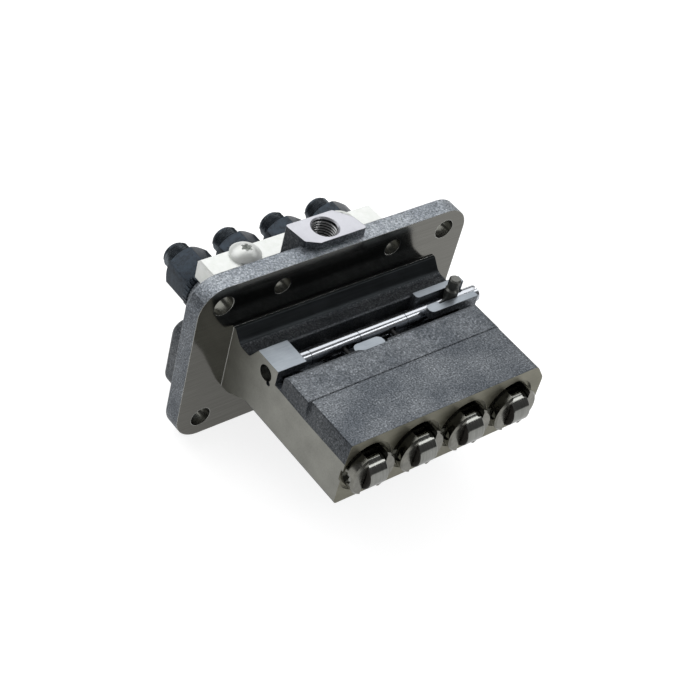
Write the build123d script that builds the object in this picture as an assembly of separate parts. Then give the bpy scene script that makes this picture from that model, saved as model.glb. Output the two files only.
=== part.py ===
"""In-line fuel injection pump for a small four-cylinder diesel engine.

It bolts to the side of the engine by its flange. The engine's camshaft pushes the four roller tappets, and a
control rack turns the four plungers to set the fuel delivered. Millimetres. X runs along the row of pump
elements, +Y points from the tappets to the fuel outlets, +Z is up. The origin is the centre of the four corner
bolts, in the plane of the flange's mounting face.
"""

from build123d import *
import math
import os

os.makedirs("parts", exist_ok=True)

# ---------------------------------------------------------------- driving sizes
# Pump elements
element_count = 4
element_pitch = 28.0
element_z = 5.0

# Mounting flange
flange_half_length = 77.5
flange_half_height = 46.0
flange_thickness = 10.0
flange_corner_radius = 14.0
corner_bolt_x = 64.0
corner_bolt_z = 35.0
corner_bolt_hole_radius = 5.25
upper_bolt_x = 32.0
upper_bolt_hole_radius = 4.5

# Tappet housing, the casting in front of the flange
tappet_face_y = -84.7
left_end_x = -55.4
right_end_x = 60.8
root_end_x = 62.5
housing_bottom_z = -13.2
cast_top_z = 23.6
parting_step = 0.4
parting_line_y = -55.7
cast_top_rear_y = -40.8
machined_end_top_z = 12.0
left_edge_lean = 1.0
right_top_inset = 6.3
right_slope_z = 14.0
right_top_radius = 4.0
right_shoulder_radius = 6.0
cast_edge_radius = 0.8
housing_edge_radius = 2.0

# Rack trough and the machined pads round it
trough_front_y = -38.8
trough_rear_y = -18.5
trough_floor_z = 3.0
trough_corner_radius = 1.5
lip_drop = 1.0
lip_slope = 1.2
groove_floor_z = 12.8
pad_z = 20.8
pad_front_y = -33.3
block_right_x = -39.7
strip_left_x = 33.5
strip_front_y = -22.3
strip_end_radius = 1.5
lobe_end_radius = 2.2
lobe_right_x = 41.0
lobe_rear_y = -28.0
rim_rear_y = -29.8
ridge_top_z = 18.5
mid_pad_x = -7.1
mid_pad_length = 16.8
mid_pad_width = 6.3
mid_pad_y = -37.35
mid_pad_moat = 0.6

# Root groove in front of the flange
root_groove_rear_y = -6.3
root_groove_front_y = -13.7
root_groove_z = 13.0
root_groove_radius = 2.4
root_wall_top_y = -1.2
root_wall_radius = 5.0
root_top_z = 19.0
root_top_radius = 0.8
root_bottom_z = -18.2
root_bottom_y = -4.4
root_bottom_radius = 5.0
root_bottom_end_y = -14.5

# Rear casting, behind the flange
rear_face_y = 36.0
rear_shelf_y = 25.8
bore_wall = 2.9
flange_rear_edge_radius = 1.6
rear_lump_half_length = 75.0
rear_lump_top_z = 14.0
rear_lump_bottom_z = -24.0
rear_lump_depth = 9.5
rear_lump_radius = 7.0
rear_lump_edge_radius = 3.2
gallery_block_half_length = 50.0
gallery_block_top_z = 24.5
gallery_block_depth = 15.2
gallery_block_edge_radius = 3.0
gallery_radius = 4.0
gallery_y = 12.5
gallery_z = 16.5
gallery_half_length = 46.0
gallery_ring_half_width = 3.5
gallery_ring_depth = 2.5

# Fuel inlet boss
boss_left_x = -19.4
boss_right_x = 15.4
boss_front_y = 3.5
boss_rear_y = 20.2
boss_top_z = 50.0
boss_shoulder = 8.0
boss_shoulder_lean = 1.4
boss_left_lean = 1.8
boss_left_corner = 6.2
boss_left_corner_depth = 3.8
boss_edge_radius = 1.2
inlet_x = -2.7
inlet_y = 11.9
inlet_radius = 6.2
inlet_thread_depth = 14.0
inlet_drilling_radius = 4.5
inlet_chamfer = 0.8

# Tappet
tappet_radius = 11.98
tappet_clearance = 0.05
tappet_ear_y = -90.4
tappet_rear_y = -62.0
tappet_web_y = -73.0
tappet_cup_radius = 9.2
tappet_stroke = 8.0
tappet_bore_rim_radius = 13.7
tappet_bore_rim_depth = 1.2
tappet_edge = 0.8
tappet_bore_rear_y = -44.0

# Roller and its pin
roller_radius = 8.0
roller_width = 10.0
roller_y = -86.3
roller_side_clearance = 0.2
roller_nose_clearance = 0.5
roller_edge = 0.6
roller_pin_radius = 2.8
roller_pin_length = 21.6
running_clearance = 0.05

# Tappet guide pin, which keeps the tappet from turning and stops it at its outer end
guide_pin_radius = 2.0
guide_pin_y = -67.0
guide_slot_depth = 1.5
guide_slot_clearance = 0.1

# Plunger, barrel and control sleeve
plunger_radius = 2.75
plunger_top_y = 8.0
spill_groove_depth = 0.6
spill_slot_width = 1.2
spill_helix_angle = 38.0
plunger_foot_radius = 4.0
plunger_foot_thickness = 1.3
plunger_vane_width = 11.4
plunger_vane_thickness = 2.9
vane_slot_clearance = 0.1
plunger_vane_length = 2.6
plunger_vane_y = -54.1
spill_groove_length = 2.4
barrel_nose_radius = 4.3
barrel_nose_clearance = 0.7
barrel_nose_y = -43.6
barrel_body_radius = 6.5
barrel_body_y = -16.5
barrel_shoulder_y = 6.0
barrel_head_radius = 8.1
barrel_top_y = 24.0
barrel_port_radius = 1.5
barrel_port_y = 12.5
fit_clearance = 0.03
sleeve_radius = 6.0
sleeve_front_y = -57.0
sleeve_slot_rear_y = -44.3
sleeve_flange_radius = 8.0
sleeve_flange_y = -36.5
sleeve_rear_y = -34.5
sleeve_chamber_radius = 9.0
sleeve_chamber_rear_y = -30.5
arm_radius = 9.0
arm_half_width = 2.0
arm_rear_y = -33.6
arm_clearance = 0.5
ball_radius = 1.8
ball_neck_radius = 1.1
ball_y = -28.3
ball_room_front = 0.4
ball_room_rear = 0.3
arm_swing = 9.9

# Plunger spring and its seats
spring_wire = 2.2
spring_mean_radius = 7.55
spring_turns = 5.5
upper_seat_outer_radius = 11.6
upper_seat_inner_radius = 6.4
upper_seat_thickness = 2.0
lower_seat_radius = 8.9
lower_seat_thickness = 2.3
lower_seat_recess_depth = 1.5
lower_seat_recess_radius = 4.3
lower_seat_hole_clearance = 0.3

# Control rack and link pin
rack_radius = 4.0
rack_y = -26.0
rack_z = 13.7
rack_left_x = -51.0
rack_right_x = 69.0
rack_edge = 0.6
rack_slot_clearance = 0.22
rack_slot_depth = 3.75
rack_mark_width = 0.7
rack_mark_depth = 0.3
rack_mark_offset = 9.5
rack_end_slot_width = 1.6
rack_end_slot_depth = 2.4
drain_radius = 1.3
drain_y = -28.9
drain_z = 9.8
drain_depth = 5.0
link_pin_x = 51.5
link_pin_shank_radius = 2.0
link_pin_shank_recess = 0.4
link_pin_seat_clearance = 0.2
link_pin_edge = 0.7
link_pin_base_radius = 3.3
link_pin_base_z = 16.6
link_pin_neck_radius = 2.3
link_pin_neck_z = 23.6
link_pin_head_radius = 2.9
link_pin_head_z = 25.0
link_pin_top_z = 29.5

# Delivery valve
valve_seat_radius = 7.9
valve_seat_thickness = 3.0
valve_neck_radius = 5.0
valve_neck_length = 5.45
valve_guide_radius = 2.9
valve_head_radius = 4.2
valve_head_thickness = 2.4
valve_flute_depth = 1.3
valve_flute_margin = 1.0
valve_foot_gap = 0.5
valve_peg_radius = 2.4
valve_peg_taper = 0.6
valve_peg_length = 2.0
valve_gap = 0.05
valve_spring_wire = 1.0
valve_spring_mean_radius = 3.6
valve_spring_turns = 5.0
gasket_thickness = 1.2
gasket_clearance = 0.2

# Delivery valve holder
holder_shank_radius = 8.95
holder_bore_radius = 5.3
holder_chamber_y = 44.0
holder_passage_radius = 1.6
holder_cone_radius = 3.4
collar_radius = 12.4
collar_tooth_depth = 0.7
collar_teeth = 36
collar_edge = 0.8
collar_rear_y = 40.5
hex_across_flats = 21.0
hex_rear_y = 56.5
hex_crown_inset = 0.4
hex_crown_slope = 1.8
outlet_radius = 7.0
outlet_y = 66.0
outlet_edge = 0.9
outlet_relief = 1.2
outlet_relief_depth = 0.8
o_ring_section_radius = 0.62
o_ring_groove_clearance = 0.1
o_ring_y = 32.0

# Lock bar and its screws
bar_half_length = 50.2
bar_front_y = 26.0
bar_rear_y = 38.3
bar_bottom_z = 15.2
bar_top_z = 25.7
bar_edge = 0.8
bar_tooth_clearance = 0.15
screw_x = 28.0
screw_y = 32.4
screw_radius = 3.0
screw_hole_radius = 3.3
screw_tip_z = 8.6
screw_head_radius = 7.75
screw_head_height = 4.6
screw_head_rim = 1.0
screw_recess_radius = 2.8
screw_recess_core_radius = 2.0
screw_recess_lobe_radius = 0.7
screw_recess_depth = 2.6

# How far a cut runs past the face that it opens
overrun = 1.0

# Worked out from the above
element_x = [(i - (element_count - 1) / 2) * element_pitch for i in range(element_count)]
row_length = (element_count - 1) * element_pitch
tappet_bore_radius = tappet_radius + tappet_clearance
spring_front_y = tappet_web_y + lower_seat_thickness
spring_rear_y = tappet_bore_rear_y - upper_seat_thickness
valve_seat_rear_y = barrel_top_y + valve_seat_thickness
holder_front_y = valve_seat_rear_y + gasket_thickness
valve_neck_y = valve_seat_rear_y + valve_neck_length
valve_head_y = valve_neck_y + valve_gap
valve_spring_front_y = valve_head_y + valve_head_thickness
hex_corner_radius = hex_across_flats / 2 / math.cos(math.radians(30))


# ---------------------------------------------------------------- form helpers
def box_between(low, high):
    """A box given by two opposite corners."""
    size = [b - a for a, b in zip(low, high)]
    middle = [(a + b) / 2 for a, b in zip(low, high)]
    return Pos(*middle) * Box(*size)


def cylinder_x(radius, y, z, x_start, x_end):
    return Pos((x_start + x_end) / 2, y, z) * Rot(0, 90, 0) * Cylinder(radius, x_end - x_start)


def cylinder_y(radius, x, z, y_start, y_end):
    return Pos(x, (y_start + y_end) / 2, z) * Rot(90, 0, 0) * Cylinder(radius, y_end - y_start)


def cylinder_z(radius, x, y, z_start, z_end):
    return Pos(x, y, (z_start + z_end) / 2) * Cylinder(radius, z_end - z_start)


def turned(outline, x=0.0, z=element_z):
    """A body turned about an axis along Y; the outline is a list of (y, radius) points."""
    profile = make_face(Polyline(*[(radius, y) for y, radius in outline], close=True))
    return Pos(x, 0, z) * revolve(profile, Axis.Y, 360)


def outline_face(outline):
    """A closed outline; a point's third number, if it has one, is the radius that rounds its corner."""
    places = [point[:2] for point in outline]
    radii = [point[2] if len(point) > 2 else 0 for point in outline]
    return make_face(FilletPolyline(*places, radius=radii, close=True))


def prism_y(outline, y_start, y_end):
    """An outline of (x, z) points carried along Y."""
    return extrude(Plane.XZ.offset(-y_end) * outline_face(outline), y_end - y_start)


def prism_x(outline, x_start, x_end):
    """An outline of (y, z) points carried along X."""
    return extrude(Plane.YZ.offset(x_start) * outline_face(outline), x_end - x_start)


def prism_z(outline, z_start, z_end):
    """An outline of (x, y) points carried along Z."""
    return extrude(Plane.XY.offset(z_start) * outline_face(outline), z_end - z_start)


def upright_edges(shape, x, y):
    """The edges along Z that stand at one place in plan."""
    reach = 0.01
    edges = shape.edges().filter_by(Axis.Z)
    edges = edges.filter_by_position(Axis.X, x - reach, x + reach)
    return edges.filter_by_position(Axis.Y, y - reach, y + reach)


def toothed_disc(radius, y_start, y_end):
    """A round collar with pointed serrations that run along Y, centred on the Y axis."""
    root = radius - collar_tooth_depth
    points = []
    for i in range(collar_teeth):
        tip_angle = 2 * math.pi * i / collar_teeth
        root_angle = tip_angle + math.pi / collar_teeth
        points.append((radius * math.sin(tip_angle), radius * math.cos(tip_angle)))
        points.append((root * math.sin(root_angle), root * math.cos(root_angle)))
    return prism_y(points, y_start, y_end)


def coil_spring(mean_radius, wire, turns, y_start, y_end):
    """A coil spring on the Y axis, its end coils inside the given length."""
    free_length = y_end - y_start - wire
    path = Helix(pitch=free_length / turns, height=free_length, radius=mean_radius)
    corner = wire / math.sqrt(2)
    profile = Plane(origin=path @ 0, z_dir=path % 0) * RegularPolygon(corner, 4, rotation=45)
    coil = sweep(profile, path, is_frenet=True)
    return Pos(0, y_start + wire / 2, 0) * Rot(-90, 0, 0) * coil


# ---------------------------------------------------------------- housing
def flange_plate():
    plate = box_between(
        (-flange_half_length, 0, -flange_half_height),
        (flange_half_length, flange_thickness, flange_half_height),
    )
    plate = fillet(plate.edges().filter_by(Axis.Y), flange_corner_radius)
    return fillet(plate.faces().sort_by(Axis.Y)[-1].edges(), flange_rear_edge_radius)


def tappet_block():
    """The casting round the tappet bores, with a shallow step on top along its parting line."""
    def outline(top_z, lean):
        return [
            (left_end_x, housing_bottom_z),
            (left_end_x, machined_end_top_z),
            (left_end_x + lean, top_z, cast_edge_radius),
            (right_end_x - right_top_inset, top_z, right_top_radius),
            (right_end_x, right_slope_z, right_shoulder_radius),
            (right_end_x, housing_bottom_z),
        ]

    front = prism_y(outline(cast_top_z - parting_step, left_edge_lean), tappet_face_y, parting_line_y)
    rear = prism_y(outline(cast_top_z, -left_edge_lean), parting_line_y, trough_front_y + lip_slope)
    lip = [
        (cast_top_rear_y, cast_top_z),
        (trough_front_y, cast_top_z - lip_drop, cast_edge_radius),
        (trough_front_y + lip_slope, groove_floor_z),
        (trough_front_y + lip_slope + overrun, groove_floor_z),
        (trough_front_y + lip_slope + overrun, cast_top_z + overrun),
        (cast_top_rear_y, cast_top_z + overrun),
    ]
    return front + rear - prism_x(lip, left_end_x - 2 * left_edge_lean, right_end_x + overrun)


def root_block():
    """The casting between the tappet block and the flange, with the groove in front of the flange."""
    outline = [
        (cast_top_rear_y, housing_bottom_z),
        (cast_top_rear_y, groove_floor_z),
        (pad_front_y, groove_floor_z),
        (pad_front_y, pad_z),
        (trough_rear_y, pad_z),
        (root_groove_front_y, root_groove_z, root_groove_radius),
        (root_groove_rear_y, root_groove_z, root_wall_radius),
        (root_wall_top_y, root_top_z, root_top_radius),
        (overrun, root_top_z),
        (overrun, root_bottom_z),
        (root_bottom_y, root_bottom_z, root_bottom_radius),
        (root_bottom_end_y, housing_bottom_z),
    ]
    return prism_x(outline, left_end_x, root_end_x)


def rear_block():
    """The casting behind the flange, which holds the barrels, the holders and the lock bar."""
    radius = holder_shank_radius + bore_wall
    stadium = extrude(
        Plane.XZ.offset(-rear_face_y) * Pos(0, element_z) * SlotCenterToCenter(row_length, 2 * radius),
        rear_face_y,
    )
    stadium -= box_between(
        (-flange_half_length, rear_shelf_y, bar_bottom_z),
        (flange_half_length, rear_face_y + overrun, gallery_block_top_z),
    )
    lump = box_between(
        (-rear_lump_half_length, flange_thickness - overrun, rear_lump_bottom_z),
        (rear_lump_half_length, flange_thickness + rear_lump_depth, rear_lump_top_z),
    )
    lump = fillet(lump.edges().filter_by(Axis.Y), rear_lump_radius)
    lump = fillet(lump.faces().sort_by(Axis.Y)[-1].edges(), rear_lump_edge_radius)
    gallery = box_between(
        (-gallery_block_half_length, flange_thickness - overrun, element_z),
        (gallery_block_half_length, flange_thickness + gallery_block_depth, gallery_block_top_z),
    )
    gallery = fillet(gallery.edges().filter_by(Axis.X).sort_by(Axis.Z)[-2:], gallery_block_edge_radius)
    return stadium + lump + gallery


def inlet_boss():
    outline = [
        (boss_left_x, boss_rear_y, boss_edge_radius),
        (boss_left_x + boss_left_lean, boss_front_y + boss_left_corner_depth, boss_edge_radius),
        (boss_left_x + boss_left_lean + boss_left_corner, boss_front_y, boss_edge_radius),
        (boss_right_x, boss_front_y, boss_edge_radius),
        (boss_right_x - boss_shoulder_lean, boss_rear_y - boss_shoulder, boss_edge_radius),
        (boss_right_x - boss_shoulder, boss_rear_y, boss_edge_radius),
    ]
    return prism_z(outline, element_z, boss_top_z)


def element_bore(x):
    """All that is cut from the housing on one element's axis, from the tappet face to the rear face."""
    outline = [
        (tappet_face_y - overrun, 0),
        (tappet_face_y - overrun, tappet_bore_rim_radius),
        (tappet_face_y + tappet_bore_rim_depth, tappet_bore_rim_radius),
        (tappet_face_y + tappet_bore_rim_depth, tappet_bore_radius),
        (tappet_bore_rear_y, tappet_bore_radius),
        (tappet_bore_rear_y, sleeve_chamber_radius),
        (sleeve_chamber_rear_y, sleeve_chamber_radius),
        (sleeve_chamber_rear_y, barrel_nose_radius + barrel_nose_clearance),
        (barrel_body_y, barrel_nose_radius + barrel_nose_clearance),
        (barrel_body_y, barrel_body_radius + fit_clearance),
        (barrel_shoulder_y, barrel_body_radius + fit_clearance),
        (barrel_shoulder_y, barrel_head_radius + fit_clearance),
        (gallery_y - gallery_ring_half_width, barrel_head_radius + fit_clearance),
        (gallery_y - gallery_ring_half_width, barrel_head_radius + gallery_ring_depth),
        (gallery_y + gallery_ring_half_width, barrel_head_radius + gallery_ring_depth),
        (gallery_y + gallery_ring_half_width, barrel_head_radius + fit_clearance),
        (barrel_top_y, barrel_head_radius + fit_clearance),
        (barrel_top_y, holder_shank_radius + fit_clearance),
        (rear_face_y + overrun, holder_shank_radius + fit_clearance),
        (rear_face_y + overrun, 0),
    ]
    arm_top_z = element_z + arm_radius + arm_half_width + arm_clearance
    arm_room = box_between(
        (x - arm_swing, sleeve_flange_y - arm_clearance, element_z),
        (x + arm_swing, sleeve_chamber_rear_y, arm_top_z),
    )
    ball_room = box_between(
        (x - arm_swing, sleeve_flange_y, rack_z - rack_radius + ball_room_front),
        (x + arm_swing, ball_y + ball_radius + ball_room_rear, arm_top_z),
    )
    guide_hole = cylinder_z(guide_pin_radius, x, guide_pin_y, housing_bottom_z - overrun, element_z)
    return turned(outline, x) + arm_room + ball_room + guide_hole


def trough_cut():
    """The open trough that the control rack lies in, and the lower rough edge behind it."""
    trough = box_between(
        (block_right_x, trough_front_y, trough_floor_z),
        (strip_left_x, trough_rear_y, cast_top_z + overrun),
    )
    left_corners = upright_edges(trough, block_right_x, trough_front_y) + upright_edges(
        trough, block_right_x, trough_rear_y
    )
    trough = fillet(left_corners, trough_corner_radius)
    ridge = box_between(
        (block_right_x, trough_rear_y - overrun, ridge_top_z),
        (strip_left_x, root_groove_front_y + overrun, pad_z + overrun),
    )
    return trough + ridge


def link_slot():
    """The slot over the rack's right bearing; it is wider where the link pin travels."""
    narrow = box_between(
        (strip_left_x - overrun, lobe_rear_y, rack_z), (lobe_right_x, strip_front_y, pad_z + overrun)
    )
    wide = box_between(
        (lobe_right_x, rim_rear_y, rack_z), (root_end_x + overrun, strip_front_y, pad_z + overrun)
    )
    return narrow + wide


def rack_bore():
    """The rack's two bearings, and the drain notch under the left one."""
    radius = rack_radius + running_clearance
    bore = cylinder_x(radius, rack_y, rack_z, left_end_x - overrun, root_end_x + overrun)
    return bore + cylinder_x(drain_radius, drain_y, drain_z, left_end_x - overrun, left_end_x + drain_depth)


def mid_pad(extra, z_start, z_end):
    profile = SlotOverall(mid_pad_length + 2 * extra, mid_pad_width + 2 * extra)
    return Pos(mid_pad_x, mid_pad_y, z_start) * extrude(profile, z_end - z_start)


def bolt_holes():
    holes = []
    for side in (-1, 1):
        for z in (-corner_bolt_z, corner_bolt_z):
            holes.append(cylinder_y(corner_bolt_hole_radius, side * corner_bolt_x, z, -overrun, flange_thickness + overrun))
        holes.append(
            cylinder_y(upper_bolt_hole_radius, side * upper_bolt_x, corner_bolt_z, -overrun, flange_thickness + overrun)
        )
    return Part() + holes


def pump_housing():
    block = tappet_block() + root_block()
    along = block.edges().filter_by(Axis.Y)
    bottom = along.filter_by_position(Axis.Z, housing_bottom_z - 0.1, housing_bottom_z + 0.1)
    bottom = bottom.filter_by_position(Axis.Y, tappet_face_y, cast_top_rear_y)
    block = fillet(bottom, housing_edge_radius)
    block = block - trough_cut() - link_slot()
    block -= mid_pad(mid_pad_moat, pad_z, cast_top_z + overrun)
    for y in (pad_front_y, lobe_rear_y):
        block = fillet(upright_edges(block, strip_left_x, y), lobe_end_radius)
    block = fillet(upright_edges(block, strip_left_x, strip_front_y), strip_end_radius)
    block -= rack_bore()
    block += mid_pad(0.0, trough_floor_z - overrun, pad_z)
    body = block + flange_plate() + rear_block() + inlet_boss()
    for x in element_x:
        body -= element_bore(x)
    body -= bolt_holes()
    body -= cylinder_x(gallery_radius, gallery_y, gallery_z, -gallery_half_length, gallery_half_length)
    body -= cylinder_z(inlet_radius, inlet_x, inlet_y, boss_top_z - inlet_thread_depth, boss_top_z + overrun)
    body -= cylinder_z(inlet_drilling_radius, inlet_x, inlet_y, gallery_z, boss_top_z)
    body -= Pos(inlet_x, inlet_y, boss_top_z - inlet_chamfer) * Cone(
        inlet_radius, inlet_radius + 2 * inlet_chamfer, 2 * inlet_chamfer, align=(Align.CENTER, Align.CENTER, Align.MIN)
    )
    for side in (-1, 1):
        body -= cylinder_z(screw_radius, side * screw_x, screw_y, screw_tip_z, bar_bottom_z + overrun)
    return body


# ---------------------------------------------------------------- tappet group
def tappet(x):
    shell = turned(
        [
            (tappet_ear_y, 0),
            (tappet_ear_y, tappet_radius - tappet_edge),
            (tappet_ear_y + tappet_edge, tappet_radius),
            (tappet_rear_y - tappet_edge, tappet_radius),
            (tappet_rear_y, tappet_radius - tappet_edge),
            (tappet_rear_y, tappet_cup_radius),
            (tappet_web_y, tappet_cup_radius),
            (tappet_web_y, 0),
        ],
        x,
    )
    half_slot = roller_width / 2 + roller_side_clearance
    slot_end_y = roller_y + roller_radius + roller_nose_clearance
    slot = box_between(
        (x - half_slot, tappet_ear_y - overrun, element_z - tappet_radius - overrun),
        (x + half_slot, slot_end_y, element_z + tappet_radius + overrun),
    )
    pin_hole = cylinder_x(roller_pin_radius, roller_y, element_z, x - tappet_radius, x + tappet_radius)
    half_guide = guide_pin_radius + guide_slot_clearance
    guide_slot = box_between(
        (x - half_guide, guide_pin_y - tappet_stroke - half_guide, element_z - tappet_radius - overrun),
        (x + half_guide, guide_pin_y + half_guide, element_z - tappet_radius + guide_slot_depth),
    )
    return shell - slot - pin_hole - guide_slot


def tappet_roller(x):
    half = roller_width / 2
    inner = roller_pin_radius + running_clearance
    outline = [
        (inner, -half),
        (roller_radius - roller_edge, -half),
        (roller_radius, -half + roller_edge),
        (roller_radius, half - roller_edge),
        (roller_radius - roller_edge, half),
        (inner, half),
    ]
    profile = make_face(Polyline(*outline, close=True))
    return Pos(x, roller_y, element_z) * Rot(0, 0, 90) * revolve(profile, Axis.Y, 360)


def roller_pin(x):
    half = roller_pin_length / 2
    return cylinder_x(roller_pin_radius, roller_y, element_z, x - half, x + half)


def tappet_guide_pins():
    top_z = element_z - tappet_radius + guide_slot_depth - guide_slot_clearance
    return [cylinder_z(guide_pin_radius, x, guide_pin_y, housing_bottom_z, top_z) for x in element_x]


# ---------------------------------------------------------------- pumping elements
def lower_spring_seat(x):
    recess_y = tappet_web_y + lower_seat_recess_depth
    hole = plunger_radius + lower_seat_hole_clearance
    return turned(
        [
            (tappet_web_y, lower_seat_recess_radius),
            (tappet_web_y, lower_seat_radius),
            (spring_front_y, lower_seat_radius),
            (spring_front_y, hole),
            (recess_y, hole),
            (recess_y, lower_seat_recess_radius),
        ],
        x,
    )


def upper_spring_seats():
    outline = [
        (spring_rear_y, upper_seat_inner_radius),
        (spring_rear_y, upper_seat_outer_radius),
        (tappet_bore_rear_y, upper_seat_outer_radius),
        (tappet_bore_rear_y, upper_seat_inner_radius),
    ]
    return [turned(outline, x) for x in element_x]


def plunger_spring(x):
    return Pos(x, 0, element_z) * coil_spring(
        spring_mean_radius, spring_wire, spring_turns, spring_front_y, spring_rear_y
    )


def plunger(x):
    foot_y = tappet_web_y + running_clearance
    spill_y = plunger_top_y - 2 * spill_groove_length
    groove_radius = plunger_radius - spill_groove_depth
    stem = turned(
        [
            (foot_y, 0),
            (foot_y, plunger_foot_radius),
            (foot_y + plunger_foot_thickness, plunger_foot_radius),
            (foot_y + plunger_foot_thickness, plunger_radius),
            (spill_y - spill_groove_length, plunger_radius),
            (spill_y - spill_groove_length, groove_radius),
            (spill_y, groove_radius),
            (spill_y, plunger_radius),
            (plunger_top_y, plunger_radius),
            (plunger_top_y, 0),
        ],
        x,
    )
    vane = box_between(
        (x - plunger_vane_width / 2, plunger_vane_y - plunger_vane_length / 2, element_z - plunger_vane_thickness / 2),
        (x + plunger_vane_width / 2, plunger_vane_y + plunger_vane_length / 2, element_z + plunger_vane_thickness / 2),
    )
    helix_cut = Pos(x, spill_y, element_z + plunger_radius) * Rot(0, 0, spill_helix_angle) * Box(
        3 * plunger_radius, spill_groove_length, 2 * (plunger_radius - groove_radius)
    )
    down_slot = box_between(
        (x - spill_slot_width / 2, spill_y - spill_groove_length / 2, element_z + groove_radius),
        (x + spill_slot_width / 2, plunger_top_y + overrun, element_z + plunger_radius + overrun),
    )
    return stem + vane - helix_cut - down_slot


def barrel(x):
    bore = plunger_radius + fit_clearance
    body = turned(
        [
            (barrel_nose_y, bore),
            (barrel_nose_y, barrel_nose_radius),
            (barrel_body_y, barrel_nose_radius),
            (barrel_body_y, barrel_body_radius),
            (barrel_shoulder_y, barrel_body_radius),
            (barrel_shoulder_y, barrel_head_radius),
            (barrel_top_y, barrel_head_radius),
            (barrel_top_y, bore),
        ],
        x,
    )
    port_reach = barrel_head_radius + overrun
    return body - cylinder_z(barrel_port_radius, x, barrel_port_y, element_z - port_reach, element_z + port_reach)


def control_sleeve(x):
    """The sleeve that turns on the barrel's nose, with slots for the plunger's vane and an arm with a ball pin."""
    bore = barrel_nose_radius + running_clearance
    body = turned(
        [
            (sleeve_front_y, bore),
            (sleeve_front_y, sleeve_radius),
            (sleeve_flange_y, sleeve_radius),
            (sleeve_flange_y, sleeve_flange_radius),
            (sleeve_rear_y, sleeve_flange_radius),
            (sleeve_rear_y, bore),
        ],
        x,
    )
    half_slot = plunger_vane_thickness / 2 + vane_slot_clearance
    body -= box_between(
        (x - sleeve_radius - overrun, sleeve_front_y - overrun, element_z - half_slot),
        (x + sleeve_radius + overrun, sleeve_slot_rear_y, element_z + half_slot),
    )
    ball_z = element_z + arm_radius
    arm = box_between(
        (x - arm_half_width, sleeve_flange_y, element_z + sleeve_radius - arm_clearance),
        (x + arm_half_width, arm_rear_y, ball_z),
    )
    arm += cylinder_y(arm_half_width, x, ball_z, sleeve_flange_y, arm_rear_y)
    arm += cylinder_y(ball_neck_radius, x, ball_z, arm_rear_y, ball_y)
    return body + arm + Pos(x, ball_y, ball_z) * Sphere(ball_radius)


# ---------------------------------------------------------------- control rack
def control_rack():
    rod = cylinder_x(rack_radius, rack_y, rack_z, rack_left_x, rack_right_x)
    rod = chamfer(rod.edges().filter_by(GeomType.CIRCLE), rack_edge)
    half_slot = ball_radius + rack_slot_clearance
    front = rack_y - rack_radius
    for x in element_x:
        rod -= box_between(
            (x - half_slot, front - overrun, rack_z - rack_radius - overrun),
            (x + half_slot, front + rack_slot_depth, element_z + arm_radius + half_slot),
        )
    for x in element_x[:-1]:
        mark_x = x + rack_mark_offset
        mark = cylinder_x(
            rack_radius + overrun, rack_y, rack_z, mark_x - rack_mark_width / 2, mark_x + rack_mark_width / 2
        )
        core = cylinder_x(rack_radius - rack_mark_depth, rack_y, rack_z, mark_x - overrun, mark_x + overrun)
        rod -= mark - core
    top_z = rack_z + rack_radius + overrun
    rod -= box_between(
        (rack_right_x - rack_end_slot_depth, rack_y - rack_end_slot_width / 2, rack_z - rack_radius - overrun),
        (rack_right_x + overrun, rack_y + rack_end_slot_width / 2, top_z),
    )
    rod -= cylinder_z(link_pin_shank_radius, link_pin_x, rack_y, rack_z - rack_radius - overrun, top_z)
    seat_radius = link_pin_base_radius + link_pin_seat_clearance
    rod -= cylinder_z(seat_radius, link_pin_x, rack_y, link_pin_base_z, top_z)
    return rod


def rack_link_pin():
    outline = [
        (0, rack_z - rack_radius + link_pin_shank_recess),
        (link_pin_shank_radius, rack_z - rack_radius + link_pin_shank_recess),
        (link_pin_shank_radius, link_pin_base_z),
        (link_pin_base_radius, link_pin_base_z),
        (link_pin_base_radius, link_pin_neck_z - link_pin_edge),
        (link_pin_neck_radius, link_pin_neck_z),
        (link_pin_neck_radius, link_pin_head_z),
        (link_pin_head_radius, link_pin_head_z),
        (link_pin_head_radius, link_pin_top_z - link_pin_edge),
        (link_pin_head_radius - link_pin_edge, link_pin_top_z),
        (0, link_pin_top_z),
    ]
    profile = make_face(Plane.XZ * Polyline(*outline, close=True))
    return Pos(link_pin_x, rack_y, 0) * revolve(profile, Axis.Z, 360)


# ---------------------------------------------------------------- delivery valves
def delivery_valve_seat(x):
    bore = valve_guide_radius + running_clearance
    return turned(
        [
            (barrel_top_y, bore),
            (barrel_top_y, valve_seat_radius),
            (valve_seat_rear_y, valve_seat_radius),
            (valve_seat_rear_y, valve_neck_radius),
            (valve_neck_y, valve_neck_radius),
            (valve_neck_y, bore),
        ],
        x,
    )


def seat_gaskets():
    outline = [
        (valve_seat_rear_y, valve_neck_radius + gasket_clearance),
        (valve_seat_rear_y, valve_seat_radius),
        (holder_front_y, valve_seat_radius),
        (holder_front_y, valve_neck_radius + gasket_clearance),
    ]
    return [turned(outline, x) for x in element_x]


def delivery_valve(x):
    body = turned(
        [
            (barrel_top_y + valve_foot_gap, 0),
            (barrel_top_y + valve_foot_gap, valve_guide_radius),
            (valve_head_y, valve_guide_radius),
            (valve_head_y, valve_head_radius),
            (valve_spring_front_y, valve_head_radius),
            (valve_spring_front_y, valve_peg_radius),
            (valve_spring_front_y + valve_peg_length, valve_peg_radius - valve_peg_taper),
            (valve_spring_front_y + valve_peg_length, 0),
        ],
        x,
    )
    for angle in (0, 120, 240):
        flute = box_between(
            (-valve_guide_radius, barrel_top_y, valve_guide_radius - valve_flute_depth),
            (valve_guide_radius, valve_head_y - valve_flute_margin, valve_guide_radius + overrun),
        )
        body -= Pos(x, 0, element_z) * Rot(0, angle, 0) * flute
    return body


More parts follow.
